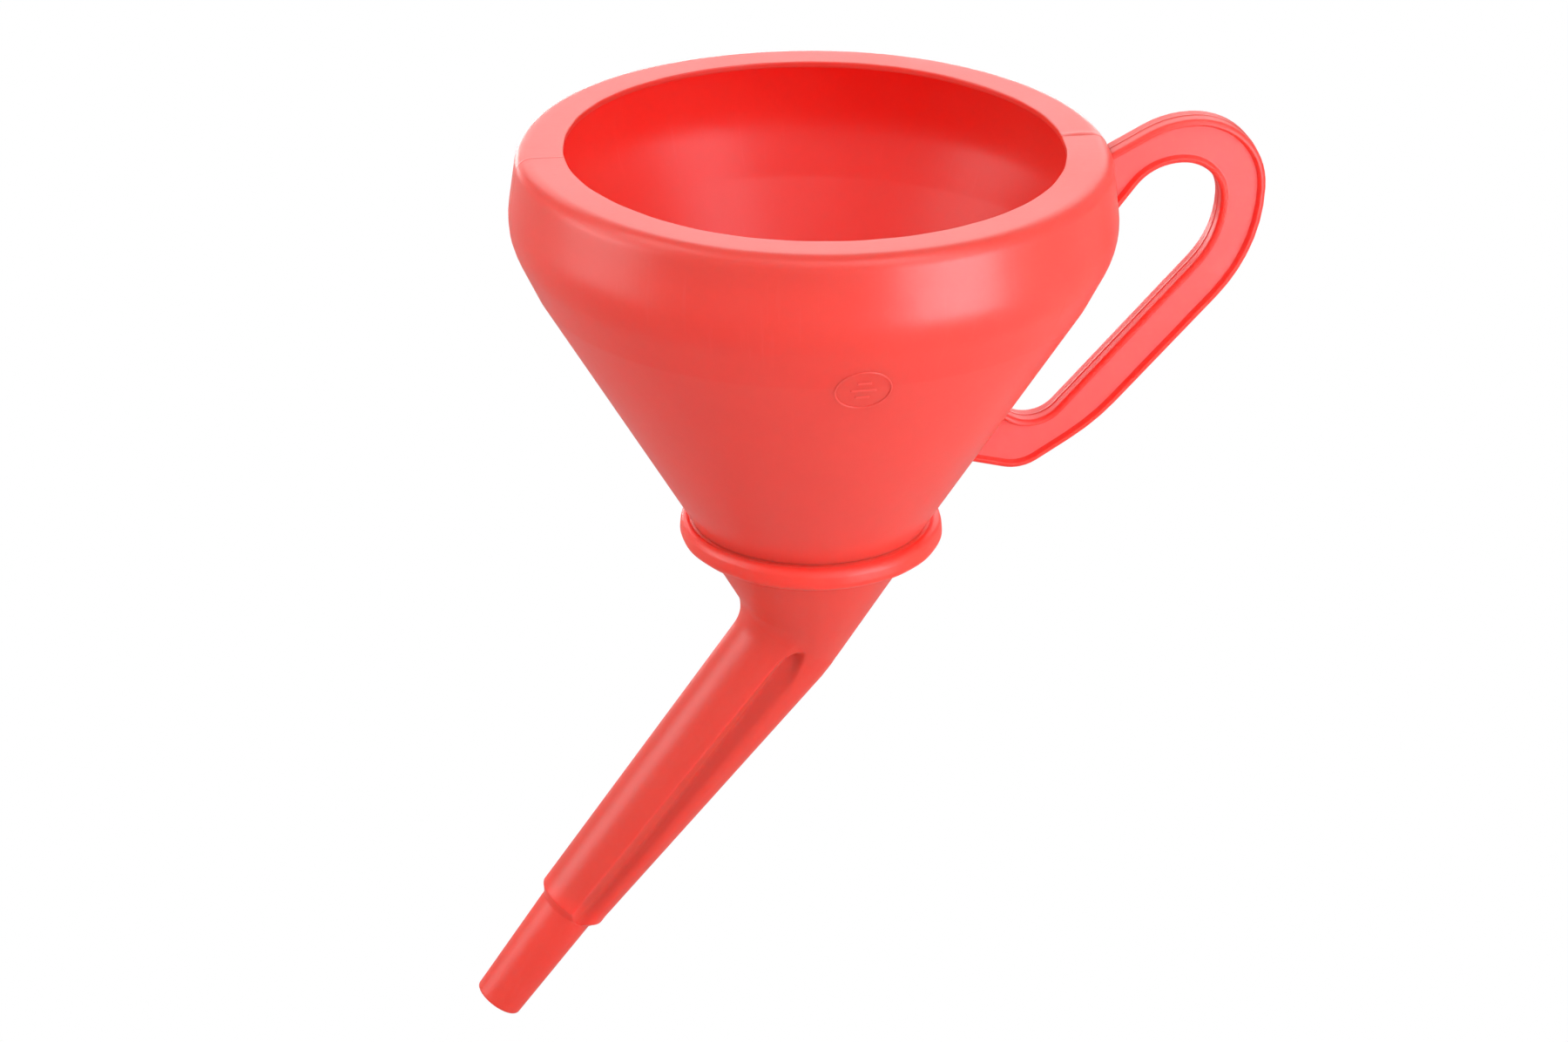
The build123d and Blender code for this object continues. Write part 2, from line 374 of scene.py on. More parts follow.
def spout_grain(shader, place):
    """Coordinates that stretch a noise along the leaning spout."""
    upright = shader.moved(place, rotation=(0, -LEAN, 0))
    return shader.moved(upright, scale=(620.0, 620.0, 26.0))


def handle_grain(shader, place):
    """Coordinates that stretch a noise along the handle's faces."""
    return shader.moved(place, scale=(60.0, 420.0, 60.0))


def web_painted_sheen(shader, place):
    """Share of painted sheen: paler colour only on the handle's recessed web, not on its edges."""
    normal = shader.add("ShaderNodeTexCoord").outputs["Normal"]
    facing = shader.add("ShaderNodeSeparateXYZ", {0: normal}).outputs[1]
    flat = shader.ramp(shader.math("ABSOLUTE", facing), 0.85, 0.98)
    across = shader.add("ShaderNodeSeparateXYZ", {0: place}).outputs[1]
    low = shader.ramp(shader.math("ABSOLUTE", across), *WEB_LEVEL, 1.0, 0.0)
    return shader.math("MULTIPLY", shader.math("MULTIPLY", flat, low), SHEEN_PAINT_SHARE)


def brass(name, colour):
    """Satin pressed brass with a faint tarnish."""
    shader = Shader(name)
    place = shader.place()
    tarnish = shader.noise(place, 160.0, detail=5.0)
    grain = shader.noise(place, 2600.0, detail=2.0)
    bright = list(colour) + [1.0]
    dark = [share * 0.62 for share in colour] + [1.0]
    tarnished = shader.mix(shader.ramp(tarnish, 0.4, 0.7), bright, dark)
    shader.feed(shader.surface, "Base Color", tarnished)
    shader.feed(shader.surface, "Roughness", shader.ramp(tarnish, 0.3, 0.7, 0.24, 0.42))
    shader.feed(shader.surface, "Normal", shader.bump(grain, 0.15, 0.00005))
    shader.surface.inputs["Metallic"].default_value = 1.0
    return shader.material


WHITE = (1.0, 1.0, 1.0, 1.0)
FLOOR_GREYS = ((0.56, 0.56, 0.56, 1), (0.59, 0.59, 0.59, 1))
FLOOR_MIRRORED = 0.42     # the floor's brightness in reflections


def plain_floor():
    """Floor that is plain white to the camera, and dimmer in reflections and bounced light."""
    shader = Shader("studio_floor")
    tone = shader.noise(shader.place(), 1.5)
    shader.feed(shader.surface, "Base Color", shader.mix(tone, *FLOOR_GREYS))
    shader.surface.inputs["Roughness"].default_value = 0.9
    shader.surface.inputs["Specular IOR Level"].default_value = 0.0
    seen = shader.add("ShaderNodeLightPath").outputs["Is Camera Ray"]
    glow = shader.add("ShaderNodeEmission", {"Color": WHITE, "Strength": 1.0}).outputs[0]
    mirrored = shader.add("ShaderNodeLightPath").outputs["Is Glossy Ray"]
    dim = shader.add("ShaderNodeEmission", {"Color": WHITE, "Strength": FLOOR_MIRRORED}).outputs[0]
    plain = shader.surface.outputs[0]
    unseen = shader.add("ShaderNodeMixShader", {0: mirrored, 1: plain, 2: dim}).outputs[0]
    mixed = shader.add("ShaderNodeMixShader", {0: seen, 1: unseen, 2: glow}).outputs[0]
    shader.feed(shader.tree.nodes["Material Output"], "Surface", mixed)
    return shader.material


BOWL_PLASTIC = polyethylene("bowl_polyethylene", colours["bowl_plastic"], round_axis_grain)
MARK_PLASTIC = polyethylene(
    "mark_polyethylene", colours["bowl_plastic"], round_axis_grain, depth=0.0,
)
# The handle's web takes a painted sheen: paler colour that stands in for the broad sheen it shows.
HANDLE_PLASTIC = polyethylene(
    "handle_polyethylene", [share * HANDLE_SHADE for share in colours["handle_plastic"]],
    handle_grain, gloss=(0.36, 0.44), painted_sheen=web_painted_sheen,
)
SPOUT_PLASTIC = polyethylene(
    "spout_polyethylene", [share * SPOUT_SHADE for share in colours["spout_plastic"]],
    spout_grain, gloss=(0.36, 0.42), reach=0.004,
)
RING_BRASS = brass("pressed_brass", colours["strainer_ring"])
GAUZE_BRASS = brass("woven_brass", colours["strainer_gauze"])


# ---- bowl ---------------------------------------------------------------------------------
def cone_r(z):
    """Outer radius of the bowl's cone at a height."""
    return CONE_R - CONE_SLOPE * (CONE_TOP_Z - z)


def neck_r(z):
    """Outer radius of the neck that sits in the spout's socket."""
    return cone_r(z) - NECK_STEP


def bowl_outside():
    """Rim, shoulder and cone as (radius, height, rounding), from the mouth to the neck."""
    return [
        (MOUTH_R, RIM_Z, 0),
        (77.0, RIM_Z, 4.4),
        (80.0, SHOULDER_Z, 20.9),
        (CONE_R, CONE_TOP_Z, 10.9),
        (cone_r(NECK_TOP_Z), NECK_TOP_Z, 0),
    ]


def bowl_profile():
    """Closed section of the bowl's wall."""
    outside = bowl_outside()
    inside = shifted(outside, -WALL)
    outside[0] = (MOUTH_R, RIM_Z, LIP_ROUND)
    outside[-1] = (*outside[-1][:2], 0.2)
    inside[0] = (MOUTH_R, RIM_Z - WALL, LIP_ROUND)
    inside[-1] = (neck_r(NECK_TOP_Z) - WALL, NECK_TOP_Z, 8.0)
    neck = [
        (neck_r(NECK_TOP_Z), NECK_TOP_Z, 0.2),
        (neck_r(NECK_END_Z), NECK_END_Z, 0.4),
        (neck_r(NECK_END_Z) - WALL, NECK_END_Z, 0.5),
    ]
    return divided(rounded(outside + neck + inside[::-1], closed=True), 1.6, closed=True)


def azimuths_with_seams(count, seams=(0.0, pi)):
    """Even azimuths, with closer ones beside each seam."""
    even = 2 * pi * np.arange(count) / count
    close = np.radians([0.1, 0.2, 0.3, 0.45, 0.6, 0.8, 1.0])
    extra = [seam + side * offset for seam in seams for offset in close for side in (-1, 1)]
    return np.unique(np.round(np.concatenate([even, extra]) % (2 * pi), 6))


BOWL_COLUMNS = 300
SEAM_HEIGHT = 0.07        # fine line that the mould leaves down both sides
RIM_SEAM_HEIGHT = 0.30    # and its coarser end across the flat rim, by the handle
RIM_SWAY = ((0.16, 2, 0.6), (0.08, 5, 2.0))
RIM_DROP = 0.24           # keeps the swaying rim below the CAD's rim plane
MOUTH_TRIM = ((0.12, 3, 1.0), (0.07, 8, 0.0), (0.05, 31, 0.0))
HANDLE_DENT = 0.6         # shallow flat on the shoulder, where the handle begins


def make_bowl():
    profile = bowl_profile()
    azimuths = azimuths_with_seams(BOWL_COLUMNS)
    rings = lathe(profile, azimuths)
    facing = normals_of(profile)
    if facing[np.argmax(profile[:, 0])][0] < 0:
        facing = -facing
    radius = profile[:, 0][:, None]
    height = profile[:, 1][:, None]
    outer = (facing[:, 0] > 0.3) | ((facing[:, 1] > 0.5) & (profile[:, 1] > RIM_Z - 6))
    clear = np.clip((profile[:, 1] - NECK_TOP_Z - 5) / 5, 0, 1)

    from_seam = np.minimum(np.abs(turned_from(azimuths, 0)), np.abs(turned_from(azimuths, pi)))
    seam = SEAM_HEIGHT * bump_at(radius * from_seam, 0.32) * (outer * clear)[:, None]
    on_rim = bump_at(height - RIM_Z, 1.5) * bump_at(radius - 70.0, 4.5)
    by_handle = bump_at(radius * turned_from(azimuths, 0.012), 0.75)
    seam = seam + RIM_SEAM_HEIGHT * on_rim * by_handle

    top = np.clip((height - (RIM_Z - 9)) / 9, 0, 1) ** 2
    at_mouth = bump_at(radius - MOUTH_R, 1.6) * bump_at(height - RIM_Z, 3.0)
    dent = bump_at(turned_from(azimuths, 0.0), 0.20) * bump_at(height - (RIM_Z - 10), 9.0)
    outward = at_mouth * waves(azimuths, *MOUTH_TRIM) - HANDLE_DENT * dent

    push = seam[..., None] * np.stack(
        [facing[:, 0][:, None] * np.cos(azimuths),
         facing[:, 0][:, None] * np.sin(azimuths),
         np.repeat(facing[:, 1][:, None], len(azimuths), axis=1)], -1)
    rings = rings + push
    rings[..., 2] += top * (waves(azimuths, *RIM_SWAY) - RIM_DROP)
    rings[..., 0] += outward * np.cos(azimuths)
    rings[..., 1] += outward * np.sin(azimuths)
    bowl = skin("bowl_shell", rings, "bowl", BOWL_PLASTIC)
    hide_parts("bowl")


# ---- moulded mark on the cone's front ------------------------------------------------------
MARK_AZIMUTH = radians(-88.7)
MARK_Z = RIM_Z - 37.6
MARK_HALF = (7.1, 7.2)    # half its width, and half its height along the wall
MARK_BARS = ((2.8, 1.8), (0.0, 3.3), (-2.8, 1.8))  # each bar's place up the wall, and half length
MARK_HEIGHT = 0.27
OVAL_WIDTH = 0.5
BAR_WIDTH = 0.8
WALL_RISE = 0.86          # height gained per millimetre up the sloping wall


def outer_radius(z):
    """Outer radius of the bowl at heights below its flat rim."""
    profile = divided(rounded(bowl_outside()), 0.5)[::-1]
    below = profile[:, 1] < RIM_Z - 0.01
    return np.interp(z, profile[below, 1], profile[below, 0])


def on_bowl(across, up, lift):
    """Points on the bowl's outside, at distances across and up from the mark's centre."""
    z = MARK_Z + np.asarray(up) * WALL_RISE
    radius = outer_radius(z)
    azimuth = MARK_AZIMUTH + np.asarray(across) / radius
    slope = (outer_radius(z + 0.1) - outer_radius(z - 0.1)) / 0.2
    tilt = np.sqrt(1 + slope ** 2)
    radius = radius + lift / tilt
    z = z - slope * lift / tilt
    return np.stack([AXIS_X + radius * np.cos(azimuth), radius * np.sin(azimuth), z], -1)


def raised_line(name, across, up, width, joined):
    """Low rounded ridge along a line on the bowl."""
    line = np.stack([across, up], -1)
    if joined:
        along = np.roll(line, -1, 0) - np.roll(line, 1, 0)
    else:
        along = np.gradient(line, axis=0)
    along /= np.linalg.norm(along, axis=1)[:, None]
    side = np.stack([-along[:, 1], along[:, 0]], -1)
    turn = np.linspace(0, 2 * pi, 12, endpoint=False)
    offset = width / 2 * np.cos(turn)
    lift = MARK_HEIGHT * np.sin(turn)
    spots = line[:, None, :] + side[:, None, :] * offset[None, :, None]
    rings = on_bowl(spots[..., 0], spots[..., 1], np.broadcast_to(lift, spots.shape[:2]))
    return skin(
        name, rings, "bowl", MARK_PLASTIC, joined=joined, capped=not joined,
    )


def make_mark():
    """Plain oval with three short bars in it, in place of any lettering."""
    turn = np.linspace(0, 2 * pi, 96, endpoint=False)
    across, up = MARK_HALF[0] * np.cos(turn), MARK_HALF[1] * np.sin(turn)
    raised_line("mark_oval", across, up, OVAL_WIDTH, True)
    for index, (up, half) in enumerate(MARK_BARS):
        across = np.linspace(-half, half, 16)
        raised_line(f"mark_bar_{index + 1}", across, np.full(16, up), BAR_WIDTH, False)


# ---- handle -------------------------------------------------------------------------------
EDGE_CREST = 1.45         # width of the raised edge's top, from the handle's outline
EDGE_FOOT = 2.05          # where its inner side meets the web
EDGE_ROUND = 1.25
WEB_DEPTH = 1.5
SEAM_RISE = 0.15          # the whole edge is set in by this, so that its seam stays in the CAD box
ROOT_SINK = 0.9           # the handle's ends stop this deep in the bowl's wall
OUTER_KNOTS = (0, 1, 2, 3, 5, 6)  # corners of both edges that lie across from each other
INNER_KNOTS = (0, 1, 2, 3, 4, 5)
HANDLE_STATIONS = 281
HALF_STEP = 0.4           # a line's direction is measured this far ahead and behind


def handle_edges():
    """Outer and inner edge of the loop as (distance from the bowl's axis, depth, rounding)."""
    outer = [
        (70.0, 8.4, 0), (92.9, -4.3, 26.0), (119.6, -4.3, 19.5), (119.6, 33.2, 45.0),
        (76.5, 81.1, 60.0), (56.7, 93.9, 12.0), (40.0, 90.0, 0),
    ]
    inner = [
        (72.0, 31.1, 0), (89.2, 7.9, 14.5), (107.4, 7.9, 10.4), (107.4, 28.9, 26.0),
        (60.3, 81.9, 9.5), (46.0, 73.0, 0),
    ]
    return [
        [(reach, RIM_Z - depth, radius) for reach, depth, radius in edge]
        for edge in (outer, inner)
    ]


def paced(line, corners, knots, share):
    """Positions and left normals on a line, with the chosen corners at even shares of it."""
    steps = np.linalg.norm(np.diff(line, axis=0), axis=1)
    length = np.concatenate([[0], np.cumsum(steps)])
    nearest = [np.argmin(np.linalg.norm(line - np.array(corners[k][:2]), axis=1)) for k in knots]
    goal = np.interp(share * (len(knots) - 1), np.arange(len(knots)), length[nearest])
    spot = np.stack([np.interp(goal, length, line[:, axis]) for axis in (0, 1)], -1)
    ahead = np.stack([np.interp(goal + HALF_STEP, length, line[:, axis]) for axis in (0, 1)], -1)
    behind = np.stack([np.interp(goal - HALF_STEP, length, line[:, axis]) for axis in (0, 1)], -1)
    along = (ahead - behind) / np.linalg.norm(ahead - behind, axis=-1)[..., None]
    return spot, np.stack([-along[..., 1], along[..., 0]], -1)


def edge_section():
    """Half of an edge's section as (inset, distance from the mirror plane), outline to web."""
    corners = [
        (0.0, 0.0, 0), (0.0, HANDLE_HALF, EDGE_ROUND), (EDGE_CREST, HANDLE_HALF, 0.25),
        (EDGE_FOOT, HANDLE_HALF - WEB_DEPTH, 0.2), (EDGE_FOOT + 0.7, HANDLE_HALF - WEB_DEPTH, 0),
    ]
    line = divided(rounded(corners), 0.9)
    seam = np.array([(-0.14, 0.0), (-0.10, 0.16), (-0.02, 0.34)])
    return np.concatenate([seam, line[1:]]) + (SEAM_RISE, 0.0)


def make_handle():
    outer_edge, inner_edge = handle_edges()
    outer_line = divided(rounded(outer_edge), 0.4)
    inner_line = divided(rounded(inner_edge), 0.4)
    section = edge_section()
    inset, aside = section[:, 0], section[:, 1]

    # Columns run from the outer edge's seam over one face to the inner edge, then back.
    kinds = [("outer", i, 1) for i in range(len(section))]
    kinds += [("inner", i, 1) for i in reversed(range(len(section)))]
    kinds += [("inner", i, -1) for i in range(1, len(section))]
    kinds += [("outer", i, -1) for i in reversed(range(1, len(section)))]

    def column(kind, share):
        edge, index, side = kind
        if edge == "outer":
            spot, left = paced(outer_line, outer_edge, OUTER_KNOTS, share)
            flat = spot - inset[index] * left
        else:
            spot, left = paced(inner_line, inner_edge, INNER_KNOTS, share)
            flat = spot + inset[index] * left
        y = np.full(len(share), side * aside[index])
        return np.stack([AXIS_X + flat[:, 0], y, flat[:, 1]], -1)

    def clearance(points):
        """Distance outside a surface that lies within the bowl's wall."""
        reach = np.hypot(points[:, 0] - AXIS_X, points[:, 1])
        return reach - outer_radius(points[:, 2]) + ROOT_SINK

    share = np.linspace(0, 1, HANDLE_STATIONS)
    fine = np.linspace(0, 1, 1601)
    stations = []
    for kind in kinds:
        outside = clearance(column(kind, fine)) > 0
        first = fine[np.argmax(outside)]
        last = fine[len(fine) - 1 - np.argmax(outside[::-1])]
        spread = share + first * (1 - share) ** 8 + (last - 1) * share ** 8
        stations.append(column(kind, spread))
    rings = np.stack(stations, axis=1)
    handle = skin(
        "handle_loop", rings, "bowl", HANDLE_PLASTIC, joined=False, capped=True,
    )
    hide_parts("handle")


# ---- spout --------------------------------------------------------------------------------
def blend(u, low, high):
    """A value that changes evenly from the shoulder to the junction."""
    return low + (high - low) * (u - SHOULDER_U) / (JUNCTION_U - SHOULDER_U)


def bend_through(start, corner, end, count):
    """Rounding from start to end, drawn towards the corner."""
    t = np.linspace(0, 1, count)[:, None]
    return (1 - t) ** 2 * start + 2 * t * (1 - t) * corner + t ** 2 * end


def half_section(u, filled=False):
    """The tube's outline at u, from its back round one flank to its front, as (back, across)."""
    front_r = blend(u, 9.9, 10.9)
    back_r, back_x = 9.1, blend(u, 0.7, 8.9)
    crest_x = blend(u, -1.55, 1.5)
    crest = np.array([crest_x, sqrt(front_r ** 2 - crest_x ** 2)])
    closing = np.clip((u - 50) / 86, 0, 1) ** 1.5
    valley = np.array([blend(u, 2.4, 6.7) - 3.2 * closing, blend(u, 6.6, 7.0) - 0.1 * closing])
    flank_turn = radians(blend(u, 61.0, 86.0))
    flank = np.array([back_x + back_r * cos(flank_turn), back_r * sin(flank_turn)])
    crest_turn = atan2(crest[1], crest[0])
    soft, hollow, crisp = 1.4, 1.0, 0.4     # lengths of the roundings at flank, valley and crest

    def toward(start, end, distance):
        return start + (end - start) * distance / np.linalg.norm(end - start)

    turn = np.linspace(0, flank_turn - soft / back_r, 34)
    back = np.stack([back_x + back_r * np.cos(turn), back_r * np.sin(turn)], -1)
    turn = np.linspace(crest_turn + crisp / front_r, pi, 62)
    front = front_r * np.stack([np.cos(turn), np.sin(turn)], -1)
    if filled:
        return np.concatenate([back, np.linspace(flank, crest, 20), front])
    pieces = [
        back,
        bend_through(back[-1], flank, toward(flank, valley, soft), 12)[1:],
        np.linspace(toward(flank, valley, soft), toward(valley, flank, hollow), 8)[1:],
        bend_through(toward(valley, flank, hollow), valley, toward(valley, crest, hollow), 14)[1:],
        np.linspace(toward(valley, crest, hollow), toward(crest, valley, crisp), 6)[1:],
        bend_through(toward(crest, valley, crisp), crest, front[0], 8)[1:],
        front[1:],
    ]
    return np.concatenate(pieces)


def full_ring(half):
    """Mirrors a half outline (back to front) into a ring that starts and ends at the back."""
    return np.concatenate([half, half[-2:0:-1] * (1, -1)])


def in_spout(x, y, u):
    """Row points from places across the spout's axis, in millimetres."""
    x, y, u = np.broadcast_arrays(x, y, u)
    return x[..., None] * SPOUT_BACK + y[..., None] * ACROSS + u[..., None] * SPOUT_UP


def around_spout(r, turn, u):
    """Points about the spout's axis, at turns from its back."""
    return in_spout(r * np.cos(turn), r * np.sin(turn), u)


POLAR_X = 3.0             # centre that the tube's outline is seen from, behind the axis
TABLE_U = np.linspace(SHOULDER_U, JUNCTION_U, 30)
TABLE_TURN = np.linspace(0, pi, 1441)
GROOVE_END_U = 137.5
GROOVE_END_ARCH = 7.0     # how much lower the groove ends at its edges than in its valley
CONE_END_Z = 101.5        # the cone stops here, inside the tube
CONE_BACK_Z = 110.0       # and here at the very back, where the tube takes over sooner
BACK_SPREAD = radians(50)  # how far the back's own shape reaches round each side
BACK_TAPER = 0.0884       # slope at which the tube's back leans in, above BACK_TAPER_U
BACK_TAPER_U = 131.2


def outline_table(filled):
    """Distance of the tube's outline from its polar centre, by height and by turn."""
    rows = []
    for u in TABLE_U:
        half = half_section(u, filled) - (POLAR_X, 0)
        turn = np.arctan2(half[:, 1], half[:, 0])
        rows.append(np.interp(TABLE_TURN, turn, np.hypot(half[:, 0], half[:, 1])))
    return np.array(rows)


FILLED = outline_table(filled=True)
GROOVE = FILLED - outline_table(filled=False)


def look_up(table, turn, u):
    """Value of a table at any turn and height, by straight-line interpolation."""
    row = np.clip((u - TABLE_U[0]) / (TABLE_U[1] - TABLE_U[0]), 0, len(TABLE_U) - 1.001)
    col = np.clip(turn / TABLE_TURN[1], 0, len(TABLE_TURN) - 1.001)
    i, j = row.astype(int), col.astype(int)
    a, b = row - i, col - j
    low = table[i, j] * (1 - b) + table[i, j + 1] * b
    high = table[i + 1, j] * (1 - b) + table[i + 1, j + 1] * b
    return low * (1 - a) + high * a


def groove_depth(turn, u):
    """Depth of the vent groove, which ends in a rounded arch."""
    aside = (turn - radians(80)) / radians(22)
    above = u - (GROOVE_END_U - GROOVE_END_ARCH * aside ** 2)
    keep = np.clip(-above / 4.0, 0, 1)
    return look_up(GROOVE, turn, u) * eased(keep)


def spout_height(points, inset):
    """How far points stand outside the joined cone and tube, each drawn in by the inset."""
    tilt = 1 / sqrt(1 + SOCKET_SLOPE ** 2)
    from_axis = np.hypot(points[..., 0] - AXIS_X, points[..., 1])
    cone = (from_axis - SOCKET_SLOPE * (points[..., 2] - SOCKET_APEX_Z)) * tilt + inset
    from_back = np.abs(np.arctan2(points[..., 1], points[..., 0] - AXIS_X))
    at_back = np.clip(1 - from_back / BACK_SPREAD, 0, 1)
    cone_end = CONE_END_Z + (CONE_BACK_Z - CONE_END_Z) * eased(at_back)
    cone = np.maximum(cone, cone_end - points[..., 2] + inset)
    u = points @ SPOUT_UP
    x = points @ SPOUT_BACK - POLAR_X
    y = np.abs(points[..., 1])
    turn = np.arctan2(y, x)
    behind = np.clip(1 - turn / BACK_SPREAD, 0, 1)
    taper = (1 - behind) * ROOT_TAPER * np.maximum(u - JUNCTION_U, 0)
    taper = taper + behind * BACK_TAPER * np.maximum(u - BACK_TAPER_U, 0)
    tube = np.hypot(x, y) - look_up(FILLED, turn, u) + taper + inset
    fillet = np.interp(np.degrees(turn), (0, 40, 70, 100, 180), (0.4, 0.8, 2.5, 6.0, 6.5))
    overlap = np.maximum(fillet - np.abs(cone - tube), 0) / fillet
    joined = np.minimum(cone, tube) - overlap ** 2 * fillet / 4
    return joined + groove_depth(turn, u)


RAY_REACH = 46.0
RAY_STEP = 0.6
HALVINGS = 14             # leaves less than 0.0001 mm of a step


def surface_points(centres, directions, inset):
    """Where rays from the centres leave the spout's body."""
    inner = np.zeros(directions.shape[:-1])
    outer = np.full_like(inner, RAY_REACH)
    found = np.zeros(inner.shape, bool)
    for distance in np.arange(RAY_STEP, RAY_REACH, RAY_STEP):
        outside = spout_height(centres + distance * directions, inset) > 0
        fresh = outside & ~found
        outer[fresh] = distance
        inner[fresh] = distance - RAY_STEP
        found |= outside
    for _ in range(HALVINGS):
        middle = (inner + outer) / 2
        outside = spout_height(centres + middle[..., None] * directions, inset) > 0
        outer = np.where(outside, middle, outer)
        inner = np.where(outside, inner, middle)
    return centres + outer[..., None] * directions


# Section planes fan out about a line in front of the bend, from level to square with the tube.
FAN_POINT = np.array([62.0, 0.0, 117.0])
FAN_U = FAN_POINT @ SPOUT_UP
AXES_MEET_Z = AXIS_X / tan(LEAN)


def planes(low_u, top_z, count_tube, count_fan, count_cone):
    """Centre, in-plane direction to the back, and share of the way to the cone, per station."""
    stations = []
    for u in np.linspace(low_u, FAN_U, count_tube, endpoint=False):
        stations.append((u * SPOUT_UP, SPOUT_BACK, 0.0))
    for share in np.linspace(0, 1, count_fan, endpoint=False):
        tilt = LEAN * (1 - share)
        normal = np.array([sin(tilt), 0, cos(tilt)])
        centre = SPOUT_UP * (FAN_POINT @ normal) / (SPOUT_UP @ normal)
        stations.append((centre, np.array([cos(tilt), 0, -sin(tilt)]), 0.5 * share))
    for z in np.linspace(FAN_POINT[2], top_z, count_cone):
        x = min(z, AXES_MEET_Z) * tan(LEAN)
        share = (z - FAN_POINT[2]) / (top_z - FAN_POINT[2])
        stations.append((np.array([x, 0, z]), np.array([1.0, 0, 0]), 0.5 + 0.5 * share))
    return stations


def cast_rings(stations, inset):
    """Rings of the spout's surface at the stations, from the tube up to the cone."""
    tube_turn = np.unwrap(np.arctan2(*full_ring(half_section(FAN_U)).T[::-1]))
    even_turn = 2 * pi * np.arange(len(tube_turn)) / len(tube_turn)
    centres, directions = [], []
    for centre, back, share in stations:
        if share == 0:
            u = centre @ SPOUT_UP
            turn = np.unwrap(np.arctan2(*full_ring(half_section(u)).T[::-1]))
        else:
            turn = tube_turn + (even_turn - tube_turn) * eased(share)
        centres.append(np.broadcast_to(centre, (len(turn), 3)))
        directions.append(np.cos(turn)[:, None] * back + np.sin(turn)[:, None] * ACROSS)
    return surface_points(np.array(centres), np.array(directions), inset)


def tip_rings():
    """End face, rounded end edge, taper and shoulder, up to the grooved tube."""
    ring = full_ring(half_section(SHOULDER_U + 2))
    turn = np.arctan2(ring[:, 1], ring[:, 0])
    taper = (TIP_ROOT_R - TIP_END_R) / TIP_ROOT_U
    end = rounded([
        (TIP_BORE_R, 0.4, 0), (TIP_BORE_R, 0.0, 0.25), (TIP_END_R, 0.0, 0.7),
        (TIP_END_R + 2 * taper, 2.0, 0),
    ])
    rings = [around_spout(r, turn, u) for r, u in end]
    for u in np.linspace(3.0, TIP_ROOT_U - 0.4, 12):
        rings.append(around_spout(TIP_END_R + u * taper, turn, u))
    return rings + shoulder_rings(ring, turn)


SHOULDER_SLOPE = 1.15     # how far up the step goes for each millimetre out
LOWER_SHARE = 0.75        # the step is plain up to here, and then turns into its rounded edge


def shoulder_rings(ring, turn):
    """Slanted step from the tip out to the tube, with a rounded edge that is softer at the back."""
    size = np.hypot(ring[:, 0], ring[:, 1])
    at_back = np.clip((ring[:, 0] + 2) / 11, 0, 1) ** 2
    foot_u = TIP_ROOT_U - 0.5 * at_back
    step = size - TIP_ROOT_R
    edge_u = foot_u + SHOULDER_SLOPE * step
    soft = 0.45 + 0.4 * at_back
    rings = []
    for share in (0.0, 0.15, 0.35, 0.55, LOWER_SHARE):
        r = TIP_ROOT_R + step * share * (1 - soft * 0.25)
        rings.append(around_spout(r, turn, foot_u + (edge_u - foot_u) * share))
    lower_r = TIP_ROOT_R + step * LOWER_SHARE * (1 - soft * 0.25)
    lower_u = foot_u + (edge_u - foot_u) * LOWER_SHARE
    for t in np.linspace(0.15, 1, 7):
        r = (1 - t) ** 2 * lower_r + 2 * t * (1 - t) * size * 0.998 + t ** 2 * size
        u = (1 - t) ** 2 * lower_u + 2 * t * (1 - t) * edge_u + t ** 2 * (edge_u + soft)
        rings.append(around_spout(r, turn, u))
    return rings


def collar_profile():
    """Cone's upper end, fine lower line, bead, gutter and thin lip, then the socket inside."""
    wall_r = SPOUT_WALL * sqrt(1 + SOCKET_SLOPE ** 2)
    low, top = COLLAR_LOW_Z, COLLAR_TOP_Z
    seat_top_z = ring_high[2]
    step_z = NECK_TOP_Z - FIT_GAP
    ledge_end_z = SOCKET_APEX_Z + (LEDGE_R + wall_r) / SOCKET_SLOPE

    def socket_r(z):
        return SOCKET_SLOPE * (z - SOCKET_APEX_Z)

    outside = rounded([
        (socket_r(low - 1.3), low - 1.3, 0),
        (socket_r(low - 0.6), low - 0.6, 0.5),
        (32.3, low + 0.1, 0.3),
        (35.3, low + 2.0, 2.4),
        (34.9, top - 0.3, 2.2),
        (32.8, top + 0.05, 0.9),
        (32.3, top - 0.05, 0.3),
        (31.9, top + 0.10, 0.15),
        (cone_r(top) + 0.05, top + 0.25, 0.1),
        (cone_r(top - 0.9) + 0.05, top - 0.9, 0),
    ])
    inside = rounded([
        (cone_r(top - 1.2) + FIT_GAP, top - 1.2, 0),
        (cone_r(step_z) + FIT_GAP, step_z, 0.2),
        (neck_r(step_z) + FIT_GAP, step_z, 0.2),
        (neck_r(seat_top_z) + FIT_GAP, seat_top_z, 0.2),
        (SEAT_R, seat_top_z, 0.1),
        (SEAT_R, SEAT_Z, 0.1),
        (LEDGE_R, SEAT_Z, 0.2),
        (LEDGE_R, ledge_end_z, 1.0),
        (socket_r(ledge_end_z - 0.9) - wall_r, ledge_end_z - 0.9, 0),
    ])
    return np.concatenate([divided(outside, 0.35), inside])


GUTTER_R = 32.2           # between the bead and the thin lip


